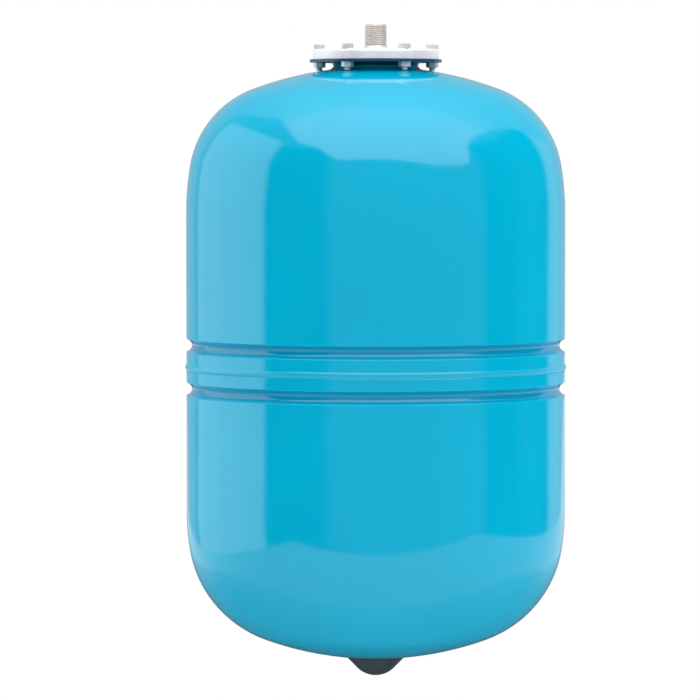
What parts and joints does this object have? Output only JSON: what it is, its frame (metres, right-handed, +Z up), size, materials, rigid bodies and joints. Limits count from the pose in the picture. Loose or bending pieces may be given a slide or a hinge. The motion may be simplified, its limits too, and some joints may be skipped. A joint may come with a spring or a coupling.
{
  "type": "expansion tank",
  "caption": "Hanging water expansion tank: domed steel vessel with rolled grooves and a welded seam, bolted neck flange with a pipe nozzle, air valve under a cover.",
  "frame": {"origin": "on the tank's axis, at the foot of the pipe thread, where it meets the weld on the counter-flange", "axes": "+Z up along the tank's axis, out of the pipe connection; X and Y across, with one pair of flange bolts on X"},
  "size_m": [0.284, 0.284, 0.4864],
  "materials": {
    "body_paint": "glossy cyan powder coat",
    "flange_paint": "thin coat of the body's paint over dark steel",
    "galvanised_plate": "bright zinc on pressed steel",
    "nozzle_steel": "machined steel, zinc plated",
    "fastener_zinc": "blue-white zinc plate",
    "bladder_rubber": "moulded black rubber",
    "seal_rubber": "smooth black rubber",
    "valve_brass": "turned brass",
    "pin_steel": "drawn steel",
    "cover_plastic": "moulded black plastic"
  },
  "bodies": {
    "tank": {"upper_shell": "body_paint", "lower_shell": "body_paint", "girth_weld": "body_paint", "neck_flange": "flange_paint", "neck_weld": "flange_paint", "counter_flange": "galvanised_plate", "pipe_nozzle": "nozzle_steel", "nozzle_weld": "nozzle_steel", "bladder": "bladder_rubber", "flange_bolt_1": "fastener_zinc", "flange_bolt_2": "fastener_zinc", "flange_bolt_3": "fastener_zinc", "flange_bolt_4": "fastener_zinc", "flange_bolt_5": "fastener_zinc", "flange_bolt_6": "fastener_zinc", "flange_nut_1": "fastener_zinc", "flange_nut_2": "fastener_zinc", "flange_nut_3": "fastener_zinc", "flange_nut_4": "fastener_zinc", "flange_nut_5": "fastener_zinc", "flange_nut_6": "fastener_zinc", "valve_boss": "nozzle_steel", "valve_gasket": "seal_rubber", "valve_stem": "valve_brass", "core_housing": "valve_brass", "core_gasket": "seal_rubber", "core_spring": "pin_steel"},
    "valve_cover": {"valve_cover": "cover_plastic"},
    "valve_pin": {"core_pin": "pin_steel", "core_seal": "seal_rubber"}
  },
  "joints": [
    {"name": "cover_pull", "type": "slide", "parent": "tank", "child": "valve_cover", "axis": [0, 0, -1], "range_m": [0, 0.04]},
    {"name": "valve_pin_press", "type": "slide", "parent": "tank", "child": "valve_pin", "axis": [0, 0, 1], "range_m": [0, 0.0015], "stiffness_N_per_m": 600, "springref_m": -0.003, "deforming": ["core_spring"]}
  ]
}
